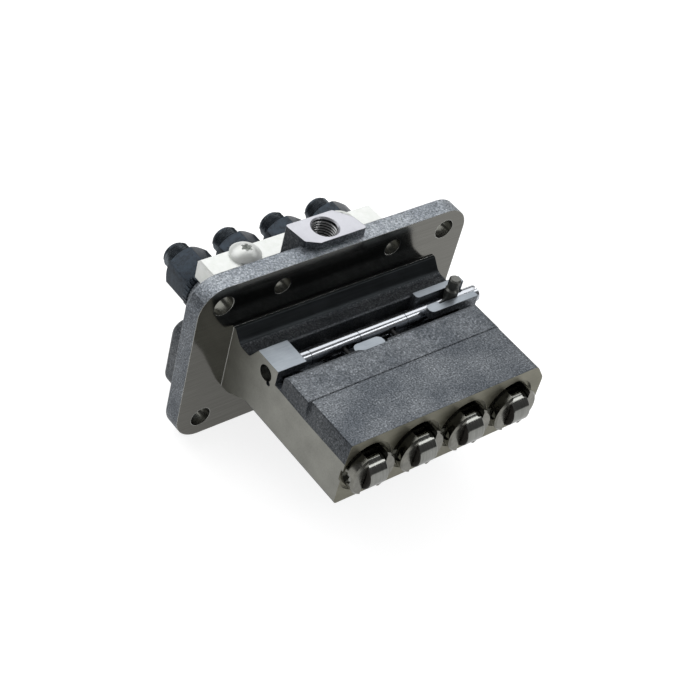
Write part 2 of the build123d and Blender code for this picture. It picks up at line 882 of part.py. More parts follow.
def delivery_valve_spring(x):
    return Pos(x, 0, element_z) * coil_spring(
        valve_spring_mean_radius, valve_spring_wire, valve_spring_turns, valve_spring_front_y, holder_chamber_y
    )


def delivery_valve_holder(x):
    groove_half = o_ring_section_radius + o_ring_groove_clearance
    groove_radius = holder_shank_radius - 2 * o_ring_section_radius
    shank = turned(
        [
            (holder_front_y, 0),
            (holder_front_y, holder_shank_radius),
            (o_ring_y - groove_half, holder_shank_radius),
            (o_ring_y - groove_half, groove_radius),
            (o_ring_y + groove_half, groove_radius),
            (o_ring_y + groove_half, holder_shank_radius),
            (rear_face_y + overrun, holder_shank_radius),
            (rear_face_y + overrun, 0),
        ],
    )
    collar = Pos(0, 0, element_z) * toothed_disc(collar_radius, rear_face_y, collar_rear_y)
    collar &= turned(
        [
            (rear_face_y, 0),
            (rear_face_y, collar_radius - collar_edge),
            (rear_face_y + collar_edge, collar_radius),
            (collar_rear_y - collar_edge, collar_radius),
            (collar_rear_y, collar_radius - collar_edge),
            (collar_rear_y, 0),
        ]
    )
    hexagon = extrude(
        Plane.XZ.offset(-hex_rear_y) * Pos(0, element_z) * RegularPolygon(hex_corner_radius, 6),
        hex_rear_y - collar_rear_y + overrun,
    )
    crown = hex_across_flats / 2
    hexagon &= turned(
        [
            (collar_rear_y - 2 * overrun, 0),
            (collar_rear_y - 2 * overrun, hex_corner_radius + overrun),
            (hex_rear_y - hex_crown_slope, hex_corner_radius + overrun),
            (hex_rear_y, crown - hex_crown_inset),
            (hex_rear_y, 0),
        ]
    )
    outlet = turned(
        [
            (hex_rear_y - overrun, 0),
            (hex_rear_y - overrun, outlet_radius - outlet_relief_depth),
            (hex_rear_y + outlet_relief, outlet_radius - outlet_relief_depth),
            (hex_rear_y + outlet_relief, outlet_radius),
            (outlet_y - outlet_edge, outlet_radius),
            (outlet_y, outlet_radius - outlet_edge),
            (outlet_y, 0),
        ]
    )
    bore = turned(
        [
            (holder_front_y - overrun, 0),
            (holder_front_y - overrun, holder_bore_radius),
            (holder_chamber_y, holder_bore_radius),
            (holder_chamber_y, holder_passage_radius),
            (outlet_y - holder_cone_radius, holder_passage_radius),
            (outlet_y, holder_cone_radius),
            (outlet_y + overrun, holder_cone_radius),
            (outlet_y + overrun, 0),
        ]
    )
    return Pos(x, 0, 0) * (shank + collar + hexagon + outlet - bore)


def holder_o_rings():
    centre_radius = holder_shank_radius - o_ring_section_radius
    ring = Rot(90, 0, 0) * Torus(centre_radius, o_ring_section_radius)
    return [Pos(x, o_ring_y, element_z) * ring for x in element_x]


# ---------------------------------------------------------------- lock bar
def lock_bar():
    bar = box_between((-bar_half_length, bar_front_y, bar_bottom_z), (bar_half_length, bar_rear_y, bar_top_z))
    bar = chamfer(bar.faces().sort_by(Axis.Z)[-1].edges(), bar_edge)
    grip = toothed_disc(collar_radius + bar_tooth_clearance, rear_face_y - bar_tooth_clearance, bar_rear_y + overrun)
    for x in element_x:
        bar -= Pos(x, 0, element_z) * grip
    for side in (-1, 1):
        bar -= cylinder_z(screw_hole_radius, side * screw_x, screw_y, bar_bottom_z - overrun, bar_top_z + overrun)
    return bar


def lock_bar_screw(x):
    dome_height = screw_head_height - screw_head_rim
    dome_radius = (screw_head_radius**2 + dome_height**2) / (2 * dome_height)
    dome_top = bar_top_z + screw_head_height
    head = cylinder_z(screw_head_radius, x, screw_y, bar_top_z, dome_top)
    head &= Pos(x, screw_y, dome_top - dome_radius) * Sphere(dome_radius)
    shank = cylinder_z(screw_radius, x, screw_y, screw_tip_z, bar_top_z + overrun)
    recess_z = dome_top - screw_recess_depth
    recess = cylinder_z(screw_recess_core_radius, x, screw_y, recess_z, dome_top + overrun)
    lobe_reach = screw_recess_radius - screw_recess_lobe_radius
    for i in range(6):
        angle = math.radians(60 * i)
        lobe_x = x + lobe_reach * math.cos(angle)
        lobe_y = screw_y + lobe_reach * math.sin(angle)
        recess += cylinder_z(screw_recess_lobe_radius, lobe_x, lobe_y, recess_z, dome_top + overrun)
    return head + shank - recess


# ---------------------------------------------------------------- export
def save(name, shape):
    """Writes one node; a list of pieces becomes one compound of separate solids."""
    if isinstance(shape, list):
        shape = Compound(children=[piece.solid() for piece in shape])
    export_step(shape, f"parts/{name}.step")


save("pump_housing", pump_housing())
save("control_rack", control_rack())
save("rack_link_pin", rack_link_pin())
save("lock_bar", lock_bar())
save("lock_bar_screws", [lock_bar_screw(side * screw_x) for side in (-1, 1)])
save("tappet_guide_pins", tappet_guide_pins())
save("upper_spring_seats", upper_spring_seats())
save("seat_gaskets", seat_gaskets())
save("holder_o_rings", holder_o_rings())
for number, x in enumerate(element_x, start=1):
    save(f"tappet_{number}", tappet(x))
    save(f"tappet_roller_{number}", tappet_roller(x))
    save(f"roller_pin_{number}", roller_pin(x))
    save(f"lower_spring_seat_{number}", lower_spring_seat(x))
    save(f"plunger_spring_{number}", plunger_spring(x))
    save(f"plunger_{number}", plunger(x))
    save(f"barrel_{number}", barrel(x))
    save(f"control_sleeve_{number}", control_sleeve(x))
    save(f"delivery_valve_seat_{number}", delivery_valve_seat(x))
    save(f"delivery_valve_{number}", delivery_valve(x))
    save(f"delivery_valve_spring_{number}", delivery_valve_spring(x))
    save(f"delivery_valve_holder_{number}", delivery_valve_holder(x))
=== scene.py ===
import math

import bpy
from mathutils import Matrix, Vector


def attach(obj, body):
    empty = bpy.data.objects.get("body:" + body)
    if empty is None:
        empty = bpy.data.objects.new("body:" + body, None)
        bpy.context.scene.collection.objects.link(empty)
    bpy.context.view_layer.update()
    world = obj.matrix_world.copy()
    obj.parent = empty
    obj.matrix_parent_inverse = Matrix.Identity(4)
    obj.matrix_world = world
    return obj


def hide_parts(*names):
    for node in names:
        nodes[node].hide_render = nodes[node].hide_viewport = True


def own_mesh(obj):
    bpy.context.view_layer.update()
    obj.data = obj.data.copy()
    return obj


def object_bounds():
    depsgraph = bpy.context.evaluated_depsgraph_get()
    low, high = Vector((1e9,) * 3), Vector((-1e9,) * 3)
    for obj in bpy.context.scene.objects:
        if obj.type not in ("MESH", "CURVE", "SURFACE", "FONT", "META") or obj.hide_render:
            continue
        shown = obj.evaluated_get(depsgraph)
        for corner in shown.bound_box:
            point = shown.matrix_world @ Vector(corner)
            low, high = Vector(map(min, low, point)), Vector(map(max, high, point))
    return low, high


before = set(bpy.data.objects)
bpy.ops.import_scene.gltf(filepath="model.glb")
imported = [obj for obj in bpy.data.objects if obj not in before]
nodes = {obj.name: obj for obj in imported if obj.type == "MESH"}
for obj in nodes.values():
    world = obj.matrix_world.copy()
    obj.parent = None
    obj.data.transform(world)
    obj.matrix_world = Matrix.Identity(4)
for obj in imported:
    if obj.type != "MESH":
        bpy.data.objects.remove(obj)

cad_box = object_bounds()
mm = 0.001

# ------------------------------------------------------------------ sizes of the pump, in mm
element_x = (-42.0, -14.0, 14.0, 42.0)
element_z = 5.0

# Delivery valve holder; sunk is how far a part of it runs into the next one
shank_front_y, shank_radius, shank_edge = 28.2, 8.95, 0.4
ring_y, ring_groove_half, ring_groove_radius = 32.0, 0.72, 7.71
collar_front_y, collar_rear_y, collar_radius, collar_edge = 36.0, 40.5, 12.4, 0.8
collar_teeth, tooth_depth, tooth_sides = 36, 0.7, 4
hexagon_flats, hexagon_rear_y, hexagon_edge = 21.0, 56.5, 0.3
crown_slope, crown_inset, crown_reach = 1.8, 0.4, 1.2
outlet_y, outlet_radius, outlet_edge, outlet_edge_depth = 66.0, 7.0, 0.6, 0.5
chamber_radius, chamber_y, chamber_taper, passage_radius, cone_radius = 5.3, 44.0, 1.5, 1.6, 3.4
thread_pitch, thread_depth, thread_start, thread_loss = 1.5, 0.9, 1.1, 1.3
sunk = 1.0

# Fuel inlet, a threaded hole down the top boss
inlet_x, inlet_y, inlet_radius, boss_top_z = -2.7, 11.9, 6.2, 50.0
inlet_thread_length, inlet_thread_depth, inlet_thread_half, inlet_thread_start = 12.0, 0.55, 0.5, 0.7

# Cam roller; its end faces are relieved inside a rim
roller_radius, roller_width, roller_bore, roller_y = 8.0, 10.0, 2.85, -86.3
roller_rim, roller_relief, relief_slope, roller_edge, edge_belly = 2.4, 0.25, 0.2, 0.6, 0.18

# Springs: wire, mean radius, turns, and where each stands along Y
plunger_spring = (2.2, 7.55, 6.5, -70.7, -46.0)
valve_spring = (1.0, 3.6, 5.5, 34.9, 44.0)

# Housing: where its machined and bare faces lie; reach is how far off its plane a face may be
reach = 0.05
left_end_x, right_end_x = -55.4, 60.8
tappet_end_y, rear_face_y, boss_front_y = -83.0, 36.0, 3.4
pad_heights = (20.8, 15.2)
rack_bore_y, rack_bore_z, rack_bore_radius = -26.0, 13.7, 4.6
element_bore_radius, tappet_bore_rear_y, barrel_seat_y = 13.85, -43.5, 5.0
corner_bolt_holes = [(side * 64.0, height * 35.0, 5.25) for side in (-1, 1) for height in (-1, 1)]
upper_bolt_holes = [(side * 32.0, 35.0, 4.5) for side in (-1, 1)]
bolt_hole_y, bolt_hole_rim, inlet_floor_z, inlet_rim = (-1.0, 11.0), 0.3, 34.0, 1.0
root_wall_y, root_wall_z = (-6.4, -0.2), (12.95, 19.1)
flange_edge_y, flange_edge_z = (-0.5, 10.5), 40.0
gully_y, gully_top_z = (-18.6, -6.0), 18.8


# ------------------------------------------------------------------ small tools
def colour(text, level=1.0):
    """A #rrggbb colour as linear RGBA, its light multiplied by the level."""
    parts = [int(text[i : i + 2], 16) / 255 for i in (1, 3, 5)]
    linear = [c / 12.92 if c <= 0.04045 else ((c + 0.055) / 1.055) ** 2.4 for c in parts]
    return [min(1.0, c * level) for c in linear] + [1.0]


def grey(value):
    """A plain number as a colour, for a roughness or a strength."""
    return [value, value, value, 1.0]


def add_node(tree, kind, inputs=None, stops=(), **settings):
    """Adds a shader node and sets it up. An input takes a value, an output or a node, which stands for its
    first output. The stops are a colour ramp's positions and colours."""
    made = tree.nodes.new("ShaderNode" + kind)
    for name, value in settings.items():
        setattr(made, name, value)
    for name, value in (inputs or {}).items():
        if isinstance(value, bpy.types.Node):
            value = value.outputs[0]
        if isinstance(value, bpy.types.NodeSocket):
            tree.links.new(value, made.inputs[name])
        else:
            made.inputs[name].default_value = value
    for number, (position, shade) in enumerate(stops):
        line = made.color_ramp.elements
        stop = line[number] if number < 2 else line.new(position)
        stop.position, stop.color = position, shade
    return made


def new_material(name):
    """An empty material, its node tree and the object's own coordinates."""
    made = bpy.data.materials.new(name)
    made.use_nodes = True
    made.node_tree.nodes.clear()
    place = add_node(made.node_tree, "TexCoord").outputs["Object"]
    return made, made.node_tree, place


# ------------------------------------------------------------------ materials
# A pattern's scale is its features per metre, so 1250 is one every 0.8 mm; three scales are along X, Y and Z.
# Shot dents and cutter marks are really about 0.1 to 0.3 mm wide, and grinding lines and grit are finer. That
# is too fine to show, so they are drawn 0.45 to 1.1 mm apart, or as a tone that drifts over 2 to 3.3 mm.
def cast_iron(name, level=1.0):
    """Grey iron, sand cast and shot blasted: a pebbled cool grey skin with bright flecks on its high spots.
    Dents every 0.8 mm, pits every 1.9 mm, and a tone that drifts over 18 mm."""
    made, tree, place = new_material(name)
    dents = add_node(tree, "TexNoise", {"Vector": place, "Scale": 1250.0, "Detail": 3.0, "Roughness": 0.65})
    pits = add_node(tree, "TexNoise", {"Vector": place, "Scale": 520.0, "Detail": 2.0, "Roughness": 0.5})
    cloud = add_node(tree, "TexNoise", {"Vector": place, "Scale": 55.0, "Detail": 3.0})
    shades = ((0.28, "#3d4043"), (0.48, "#666a6e"), (0.62, "#83878c"), (0.76, "#c3c6ca"))
    skin = add_node(tree, "ValToRGB", {"Fac": dents}, [(height, colour(text, level)) for height, text in shades])
    tint = add_node(tree, "ValToRGB", {"Fac": cloud}, [(0.35, colour("#cccfd3")), (0.65, colour("#ffffff"))])
    base = add_node(tree, "Mix", {0: 1.0, 6: skin, 7: tint}, data_type="RGBA", blend_type="MULTIPLY")
    relief = add_node(tree, "Math", {0: dents, 1: pits}, operation="ADD")
    edge = add_node(tree, "Bevel", {"Radius": 0.5 * mm}, samples=4)
    bump = add_node(tree, "Bump", {"Height": relief, "Strength": 0.5, "Distance": 0.4 * mm, "Normal": edge})
    rough = add_node(tree, "ValToRGB", {"Fac": pits}, [(0.35, grey(0.38)), (0.65, grey(0.52))])
    surface = add_node(tree, "BsdfPrincipled", {
        "Base Color": base.outputs[2], "Metallic": 0.85, "Roughness": rough, "Normal": bump})
    add_node(tree, "OutputMaterial", {"Surface": surface})
    return made


def ground_iron():
    """Iron surface ground to a near mirror: it shows what stands in front of it, with grinding lines along X
    every 0.45 mm; its sharp edges are painted lighter, rubbed metal and a painted highlight line in one."""
    made, tree, place = new_material("iron_surface_ground")
    along = add_node(tree, "Mapping", {"Vector": place, "Scale": (30.0, 1.0, 2200.0)})
    lines = add_node(tree, "TexNoise", {"Vector": along, "Scale": 1.0, "Detail": 3.0})
    shade = add_node(tree, "ValToRGB", {"Fac": lines}, [(0.3, colour("#6b6a65")), (0.7, colour("#7a7974"))])
    rough = add_node(tree, "ValToRGB", {"Fac": lines}, [(0.3, grey(0.10)), (0.7, grey(0.16))])
    edge = add_node(tree, "Bevel", {"Radius": 0.6 * mm}, samples=6)
    plane = add_node(tree, "NewGeometry").outputs["True Normal"]
    turned = add_node(tree, "VectorMath", {0: edge, 1: plane}, operation="DOT_PRODUCT").outputs["Value"]
    # Painted highlight: where the bevelled normal turns from the face, the colour goes lighter, a bright line along
    # the sharp edges that is partly rubbed metal and partly a painted highlight
    rubbed = add_node(tree, "ValToRGB", {"Fac": turned}, [(0.90, grey(1.0)), (0.985, grey(0.0))])
    base = add_node(tree, "Mix", {0: rubbed, 6: shade, 7: colour("#c9cac6")}, data_type="RGBA")
    bump = add_node(tree, "Bump", {"Height": lines, "Strength": 0.08, "Distance": 0.01 * mm, "Normal": edge})
    surface = add_node(tree, "BsdfPrincipled", {
        "Base Color": base.outputs[2], "Metallic": 1.0, "Roughness": rough, "Normal": bump})
    add_node(tree, "OutputMaterial", {"Surface": surface})
    return made


def milled_iron(name, dark, light, scale, roughness):
    """Iron faced with a cutter: satin, with fine tool marks that scatter the light, and a faint 11 mm cloud."""
    made, tree, place = new_material(name)
    along = add_node(tree, "Mapping", {"Vector": place, "Scale": scale})
    marks = add_node(tree, "TexNoise", {"Vector": along, "Scale": 1.0, "Detail": 4.0, "Roughness": 0.6})
    cloud = add_node(tree, "TexNoise", {"Vector": place, "Scale": 90.0, "Detail": 2.0})
    both = add_node(tree, "Mix", {0: 0.5, 2: marks, 3: cloud})
    shade = add_node(tree, "ValToRGB", {"Fac": both}, [(0.32, colour(dark)), (0.68, colour(light))])
    gloss = (0.3, grey(roughness - 0.05)), (0.7, grey(roughness + 0.05))
    rough = add_node(tree, "ValToRGB", {"Fac": marks}, gloss)
    edge = add_node(tree, "Bevel", {"Radius": 0.4 * mm}, samples=4)
    bump = add_node(tree, "Bump", {"Height": marks, "Strength": 0.15, "Distance": 0.03 * mm, "Normal": edge})
    surface = add_node(tree, "BsdfPrincipled", {
        "Base Color": shade, "Metallic": 0.9, "Roughness": rough, "Normal": bump})
    add_node(tree, "OutputMaterial", {"Surface": surface})
    return made


def steel(name, dark, light, roughness, scale=(300.0, 300.0, 300.0), metallic=1.0, line_depth=0.01):
    """Steel with a worked surface: fine tool lines, so many per metre each way, vary its tone and its gloss."""
    made, tree, place = new_material(name)
    along = add_node(tree, "Mapping", {"Vector": place, "Scale": scale})
    lines = add_node(tree, "TexNoise", {"Vector": along, "Scale": 1.0, "Detail": 3.0})
    shade = add_node(tree, "ValToRGB", {"Fac": lines}, [(0.3, colour(dark)), (0.7, colour(light))])
    gloss = (0.3, grey(max(0.03, roughness - 0.04))), (0.7, grey(roughness + 0.04))
    rough = add_node(tree, "ValToRGB", {"Fac": lines}, gloss)
    bump = add_node(tree, "Bump", {"Height": lines, "Strength": 0.15, "Distance": line_depth * mm})
    surface = add_node(tree, "BsdfPrincipled", {
        "Base Color": shade, "Metallic": metallic, "Roughness": rough, "Normal": bump})
    add_node(tree, "OutputMaterial", {"Surface": surface})
    return made


def black_oxide(name, dark, light, roughness):
    """Steel blackened in hot salts: a thin blue-black skin with a semi-gloss sheen and a 2.4 mm mottle."""
    made, tree, place = new_material(name)
    mottle = add_node(tree, "TexNoise", {"Vector": place, "Scale": 420.0, "Detail": 4.0, "Roughness": 0.6})
    shade = add_node(tree, "ValToRGB", {"Fac": mottle}, [(0.35, colour(dark)), (0.65, colour(light))])
    gloss = (0.3, grey(roughness - 0.06)), (0.7, grey(roughness + 0.06))
    rough = add_node(tree, "ValToRGB", {"Fac": mottle}, gloss)
    bump = add_node(tree, "Bump", {"Height": mottle, "Strength": 0.08, "Distance": 0.04 * mm})
    surface = add_node(tree, "BsdfPrincipled", {
        "Base Color": shade, "Metallic": 0.75, "Roughness": rough, "Normal": bump})
    add_node(tree, "OutputMaterial", {"Surface": surface})
    return made


def zinc_plate():
    """Bright zinc plate over steel: almost white, with a faint warm-green cast and a soft satin gloss, in
    3.3 mm clouds."""
    made, tree, place = new_material("steel_zinc_plated")
    cloud = add_node(tree, "TexNoise", {"Vector": place, "Scale": 300.0, "Detail": 2.0})
    shade = add_node(tree, "ValToRGB", {"Fac": cloud}, [(0.3, colour("#dfe2de")), (0.7, colour("#ebedeb"))])
    rough = add_node(tree, "ValToRGB", {"Fac": cloud}, [(0.3, grey(0.36)), (0.7, grey(0.42))])
    bump = add_node(tree, "Bump", {"Height": cloud, "Strength": 0.05, "Distance": 0.03 * mm})
    surface = add_node(tree, "BsdfPrincipled", {
        "Base Color": shade, "Metallic": 0.55, "Roughness": rough, "Normal": bump})
    add_node(tree, "OutputMaterial", {"Surface": surface})
    return made


def nitrile_rubber():
    """Moulded nitrile rubber: matt black, with a faint 1.1 mm grain."""
    made, tree, place = new_material("nitrile_rubber")
    grain = add_node(tree, "TexNoise", {"Vector": place, "Scale": 900.0, "Detail": 2.0})
    shade = add_node(tree, "ValToRGB", {"Fac": grain}, [(0.3, colour("#141414")), (0.7, colour("#222222"))])
    bump = add_node(tree, "Bump", {"Height": grain, "Strength": 0.2, "Distance": 0.05 * mm})
    surface = add_node(tree, "BsdfPrincipled", {"Base Color": shade, "Roughness": 0.6, "Normal": bump})
    add_node(tree, "OutputMaterial", {"Surface": surface})
    return made


# Iron of the casting: its skin in three tones, the plain one, a lighter copy that is painted light and a darker copy
# that is painted shade, and its machined faces
rough_cast = cast_iron("cast_iron_shot_blasted", 1.25)
# Painted light: a lighter copy of the skin for the flange's top edge, where the lamp lights it most
painted_light_cast = cast_iron("cast_iron_painted_light_edge", 2.3)
# Painted shade: a darker copy of the skin, for faces that lie in shade
painted_shade_cast = cast_iron("cast_iron_painted_shade", 0.62)
ground_face = ground_iron()
milled_end = milled_iron("iron_milled_end", "#868680", "#9e9e97", (60.0, 1300.0, 1300.0), 0.42)
milled_pad = milled_iron("iron_milled_pad", "#868d94", "#a2a9b0", (160.0, 1900.0, 1900.0), 0.36)
spot_face = milled_iron("iron_spot_faced", "#b3b4ba", "#c6c7cd", (300.0, 300.0, 1.0), 0.34)
tappet_face = milled_iron("iron_ground_tappet_face", "#706e60", "#8a887a", (160.0, 1900.0, 1900.0), 0.36)
# Painted shade: the drilled and bored faces are a darker iron, for the shade inside holes and bores
bored_iron_painted_shade = milled_iron("iron_drilled_and_bored_painted_shade", "#5c5c57", "#80807a", (900.0, 60.0, 900.0), 0.2)
threaded_iron = milled_iron("iron_thread_cut", "#a0a1a2", "#bcbdbe", (300.0, 300.0, 1500.0), 0.3)
# Painted shade: a near black iron for the wall under the flange and the inlet hole's sides, which lie in shade and
# mirror dark
painted_shade_wall = milled_iron("iron_root_wall_painted_shade", "#2b2e30", "#393d40", (40.0, 900.0, 900.0), 0.34)

# Steels with a worked surface, bright ones and dark ones that are painted shade, and copper
ground_steel = steel("steel_centreless_ground", "#b3b7bd", "#cbced3", 0.16, (30.0, 1800.0, 1800.0))
machined_steel = steel("steel_fine_turned", "#8b8d90", "#acaeb1", 0.26, (1500.0, 1500.0, 1500.0))
# Painted shade: the control sleeves are a near black steel, for the shade in the trough round them
painted_shade_steel = steel("steel_dark_painted_shade", "#1a1b1c", "#252627", 0.55, (900.0, 900.0, 900.0), 0.4, 0.04)
hardened_steel = steel("steel_case_hardened", "#75756f", "#8d8c85", 0.24, line_depth=0.003)
bearing_steel = steel("steel_superfinished", "#82837f", "#979894", 0.10, (1500.0, 100.0, 100.0))
# Painted shade: a near black steel for the rollers' end faces, which lie in shade beside the ears
roller_end_painted_shade = steel("steel_roller_end_painted_shade", "#1f1c19", "#2e2a26", 0.34, (500.0, 500.0, 500.0), 0.6)
spring_steel = steel(
    "spring_wire_shot_peened", "#5f6266", "#7f8286", 0.36, (1200.0, 1200.0, 1200.0), line_depth=0.06)
copper = steel("copper_annealed", "#b5714f", "#cf8c66", 0.3)

# Coated steels and rubber
oxide = black_oxide("steel_black_oxide", "#292e34", "#38414a", 0.3)
rubbed_oxide = black_oxide("steel_black_oxide_rubbed", "#5c6268", "#7b8187", 0.22)
worn_oxide = black_oxide("steel_black_oxide_worn", "#5a5b59", "#757672", 0.34)
zinc = zinc_plate()
rubber = nitrile_rubber()

node_finishes = {
    "control_rack": ground_steel, "tappet_guide_pins": ground_steel, "rack_link_pin": worn_oxide,
    "lock_bar": zinc, "lock_bar_screws": zinc, "seat_gaskets": copper, "holder_o_rings": rubber,
    "tappet": hardened_steel, "roller_pin": bearing_steel, "plunger": bearing_steel,
    "upper_spring_seats": machined_steel, "lower_spring_seat": machined_steel, "barrel": machined_steel,
    "delivery_valve_seat": machined_steel, "delivery_valve": machined_steel,
    "tappet_roller": bearing_steel, "control_sleeve": painted_shade_steel,
}


def dress(piece, *materials):
    piece.data.materials.clear()
    for made in materials:
        piece.data.materials.append(made)


for name, node in nodes.items():
    kind = name if name in node_finishes else name.rstrip("1234").rstrip("_")
    if kind in node_finishes:
        dress(node, node_finishes[kind])


# ------------------------------------------------------------------ modelling tools
def deselect():
    bpy.ops.object.select_all(action="DESELECT")


def pick(piece):
    deselect()
    piece.select_set(True)
    bpy.context.view_layer.objects.active = piece


def settle(name):
    """Names the new object and moves its place into its mesh."""
    piece = bpy.context.object
    piece.name = name
    bpy.ops.object.transform_apply(location=True, rotation=True, scale=True)
    return piece


def tidy_mesh(piece, angle=35.0):
    """Merges doubles, turns faces outwards and smooths the round surfaces."""
    pick(piece)
    bpy.ops.object.mode_set(mode="EDIT")
    bpy.ops.mesh.select_all(action="SELECT")
    bpy.ops.mesh.remove_doubles(threshold=0.000002)
    bpy.ops.mesh.normals_make_consistent(inside=False)
    bpy.ops.object.mode_set(mode="OBJECT")
    bpy.ops.object.shade_smooth_by_angle(angle=math.radians(angle))
    return piece


def turn(name, outline, x, sides=48, z=element_z):
    """A turned part on an axis along Y: a circle pulled from step to step, each (y, radius), until it closes."""
    deselect()
    (y, radius), *steps = outline
    bpy.ops.mesh.primitive_circle_add(
        vertices=sides, radius=radius * mm, location=(x * mm, y * mm, z * mm), rotation=(math.radians(-90), 0, 0))
    piece = settle(name)
    bpy.ops.object.mode_set(mode="EDIT")
    bpy.ops.mesh.select_all(action="SELECT")
    for next_y, next_radius in steps:
        bpy.ops.mesh.extrude_region_move(TRANSFORM_OT_translate={"value": (0, (next_y - y) * mm, 0)})
        size = next_radius / radius
        bpy.ops.transform.resize(value=(size, 1, size), center_override=(x * mm, next_y * mm, z * mm))
        y, radius = next_y, next_radius
    bpy.ops.object.mode_set(mode="OBJECT")
    return piece


def modify(piece, kind, **settings):
    """Adds a modifier and applies it."""
    pick(piece)
    added = piece.modifiers.new(kind.title(), kind)
    for name, value in settings.items():
        setattr(added, name, value)
    bpy.ops.object.modifier_apply(modifier=added.name)
    return piece


def join(piece, *others):
    pick(piece)
    for other in others:
        other.select_set(True)
    bpy.ops.object.join()
    return piece


def select_ring(piece, test):
    """Selects in edit mode the vertices whose place in mm passes the test."""
    bpy.ops.object.mode_set(mode="OBJECT")
    for vertex in piece.data.vertices:
        vertex.select = test(*(vertex.co / mm))
    bpy.ops.object.mode_set(mode="EDIT")


def wind(piece, turns, rise, steps=32):
    """Winds the piece's outline round the Y axis, one ring of it after another."""
    rings = round(steps * turns)
    return modify(
        piece, "SCREW", axis="Y", angle=2 * math.pi * turns, screw_offset=rise * mm,
        iterations=1, steps=rings, render_steps=rings)


def copies(piece, name):
    """A set of four, one for each element: the piece and three copies, each with its own mesh."""
    piece.name = name + "_1"
    made = [piece]
    for number, x in enumerate(element_x[1:], 2):
        other = piece.copy()
        other.data = piece.data.copy()
        other.name = f"{name}_{number}"
        other.data.transform(Matrix.Translation(((x - element_x[0]) * mm, 0, 0)))
        bpy.context.scene.collection.objects.link(other)
        made.append(other)
    return made


# ------------------------------------------------------------------ delivery valve holders
def screw_thread(name, root_radius, crest_radius, length, run_out=0.6, half=thread_pitch / 2):
    """A V thread on the Y axis from y = 0: its outline wound round the core, and sloped off over the run-out's
    share of a turn at both ends. Its root is sunk a little into the core."""
    deselect()
    bpy.ops.mesh.primitive_circle_add(
        vertices=4, radius=half * mm, location=(root_radius * mm, 0, 0), fill_type="NOTHING")
    piece = settle(name)
    turns = length / thread_pitch - 1
    height, root_share, end_share = crest_radius - root_radius, 0.4, 0.05
    for vertex in piece.data.vertices:
        outwards = (vertex.co.x / mm - root_radius) / half
        vertex.co.x = (root_radius + height * (outwards if outwards > 0 else root_share * outwards)) * mm
        vertex.co.y += half * mm
    wind(piece, turns, turns * thread_pitch)
    rings = len(piece.data.vertices) // 4 - 1
    for vertex in piece.data.vertices:
        radius = math.hypot(vertex.co.x, vertex.co.z)
        turned = vertex.index // 4 / rings * turns
        kept = min(1.0, turned / run_out, (turns - turned) / run_out)
        if abs(radius / mm - root_radius) > 0.01:
            wanted = (root_radius - end_share * height) * mm * (1 - kept) + radius * kept
            vertex.co.x *= wanted / radius
            vertex.co.z *= wanted / radius
    return piece


def serrated_collar(x):
    """The holder's collar, with a notch between each pair of its teeth."""
    collar = turn("holder_collar", [
        (collar_front_y, chamber_radius), (collar_front_y, collar_radius - collar_edge),
        (collar_front_y + collar_edge, collar_radius), (collar_rear_y - collar_edge, collar_radius),
        (collar_rear_y, collar_radius - collar_edge), (collar_rear_y, chamber_radius),
        (collar_front_y, chamber_radius)], x, sides=collar_teeth * tooth_sides)
    pick(collar)
    turned_by = 2 * math.pi / collar_teeth

    def between_teeth(px, py, pz):
        along, up = px - x, pz - element_z
        place = (math.atan2(along, up) / turned_by) % 1.0
        return math.hypot(along, up) > collar_radius - collar_edge - reach and 0.4 < place < 0.6

    select_ring(collar, between_teeth)
    root = 1 - tooth_depth / collar_radius
    bpy.ops.transform.resize(value=(root, 1, root), center_override=(x * mm, 0, element_z * mm))
    bpy.ops.object.mode_set(mode="OBJECT")
    return collar


def crowned_hexagon(x):
    """The holder's hexagon, its corners turned down at the outlet end, drilled through for the fuel."""
    front_y, flat = collar_rear_y - sunk, hexagon_flats / 2
    deselect()
    bpy.ops.mesh.primitive_cylinder_add(
        vertices=6, radius=flat / math.cos(math.radians(30)) * mm, depth=(hexagon_rear_y - front_y) * mm,
        location=(x * mm, (front_y + hexagon_rear_y) / 2 * mm, element_z * mm), rotation=(math.radians(90), 0, 0))
    hexagon = settle("holder_hexagon")
    modify(
        hexagon, "BEVEL", width=hexagon_edge * mm, segments=2, limit_method="ANGLE", angle_limit=math.radians(50))
    crown_front_y, middle = collar_rear_y - 2 * sunk, 1.0
    crown = turn("crown", [
        (crown_front_y, middle), (crown_front_y, flat * crown_reach),
        (hexagon_rear_y - crown_slope, flat * crown_reach), (hexagon_rear_y, flat - crown_inset),
        (hexagon_rear_y, middle), (crown_front_y, middle)], x, sides=64)
    bore_front_y, bore_rear_y, middle = shank_front_y - sunk, outlet_y + 2 * sunk, 0.4
    bore = turn("bore", [
        (bore_front_y, middle), (bore_front_y, chamber_radius), (chamber_y, chamber_radius),
        (chamber_y + chamber_taper, passage_radius), (bore_rear_y, passage_radius), (bore_rear_y, middle),
        (bore_front_y, middle)], x, sides=32)
    tidy_mesh(crown)
    tidy_mesh(bore)
    modify(hexagon, "BOOLEAN", operation="INTERSECT", object=crown, solver="EXACT")
    modify(hexagon, "BOOLEAN", operation="DIFFERENCE", object=bore, solver="EXACT")
    for tool in (crown, bore):
        bpy.data.objects.remove(tool)
    return hexagon


